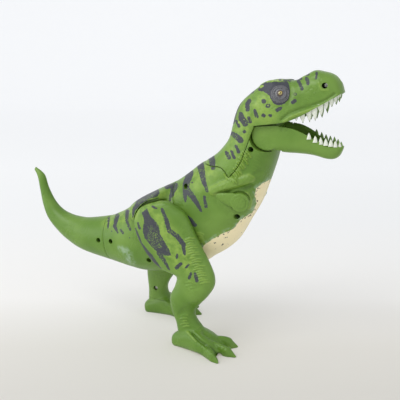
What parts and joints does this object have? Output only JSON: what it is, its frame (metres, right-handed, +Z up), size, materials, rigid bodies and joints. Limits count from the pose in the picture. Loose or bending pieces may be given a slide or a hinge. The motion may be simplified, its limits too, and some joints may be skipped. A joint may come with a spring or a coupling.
{
  "type": "toy dinosaur figure",
  "caption": "Standing two-legged toy dinosaur in screwed plastic halves, with an opening toothed jaw, pitching head, and swivelling waist, tail, arms and legs.",
  "frame": {"origin": "on the floor, under the middle of the figure's outer box", "axes": "+X towards the snout, +Y towards the figure's left side, +Z up; the tail points to -X"},
  "size_m": [0.346, 0.1288, 0.2797],
  "materials": {
    "green_plastic": "moulded green plastic, satin",
    "steel_fastener": "plain zinc-plated steel"
  },
  "bodies": {
    "pelvis": {"pelvis_right": "green_plastic", "pelvis_left": "green_plastic", "pelvis_rear_screw": "steel_fastener", "pelvis_low_screw": "steel_fastener"},
    "torso": {"torso_right": "green_plastic", "torso_left": "green_plastic", "torso_back_screw": "steel_fastener", "torso_belly_screw": "steel_fastener", "torso_neck_screw": "steel_fastener", "neck_axle": "steel_fastener"},
    "head": {"head_right": "green_plastic", "head_left": "green_plastic", "head_screw": "steel_fastener"},
    "jaw": {"lower_jaw": "green_plastic"},
    "tail": {"tail_right": "green_plastic", "tail_left": "green_plastic", "tail_screw": "steel_fastener"},
    "arm_right": {"arm_right": "green_plastic", "arm_right_screw": "steel_fastener"},
    "arm_left": {"arm_left": "green_plastic", "arm_left_screw": "steel_fastener"},
    "leg_right": {"leg_right_outer": "green_plastic", "leg_right_inner": "green_plastic", "leg_right_shank_screw": "steel_fastener", "leg_right_thigh_screw": "steel_fastener", "leg_right_hip_washer": "steel_fastener", "leg_right_hip_screw": "steel_fastener"},
    "leg_left": {"leg_left_outer": "green_plastic", "leg_left_inner": "green_plastic", "leg_left_shank_screw": "steel_fastener", "leg_left_thigh_screw": "steel_fastener", "leg_left_hip_washer": "steel_fastener", "leg_left_hip_screw": "steel_fastener"}
  },
  "joints": [
    {"name": "waist_twist", "type": "hinge", "parent": "pelvis", "child": "torso", "pos_m": [0.0195, -0.00019, 0.12375], "axis": [0.9411, 0, 0.338], "range_deg": [-8, 8]},
    {"name": "tail_swivel", "type": "hinge", "parent": "pelvis", "child": "tail", "pos_m": [-0.0745, -0.00019, 0.0949], "axis": [0.9927, 0, 0.1206], "range_deg": [-25, 25]},
    {"name": "head_pitch", "type": "hinge", "parent": "torso", "child": "head", "pos_m": [0.1055, -0.00019, 0.221], "axis": [0, -1, 0], "range_deg": [-10, 0]},
    {"name": "jaw_close", "type": "hinge", "parent": "torso", "child": "jaw", "pos_m": [0.1055, -0.00019, 0.221], "axis": [0, -1, 0], "range_deg": [0, 22]},
    {"name": "arm_right_swing", "type": "hinge", "parent": "torso", "child": "arm_right", "pos_m": [0.0805, -0.0272, 0.155], "axis": [0.301, -0.9532, -0.0301], "range_deg": [0, 150]},
    {"name": "arm_left_swing", "type": "hinge", "parent": "torso", "child": "arm_left", "pos_m": [0.0805, 0.0268, 0.155], "axis": [-0.301, -0.9532, 0.0301], "range_deg": [0, 150]},
    {"name": "hip_right_swing", "type": "hinge", "parent": "pelvis", "child": "leg_right", "pos_m": [0.0015, -0.03619, 0.123], "axis": [0, -1, 0], "range_deg": [-25, 25]},
    {"name": "hip_left_swing", "type": "hinge", "parent": "pelvis", "child": "leg_left", "pos_m": [0.0015, 0.0358, 0.123], "axis": [0, -1, 0], "range_deg": [-25, 25]}
  ]
}
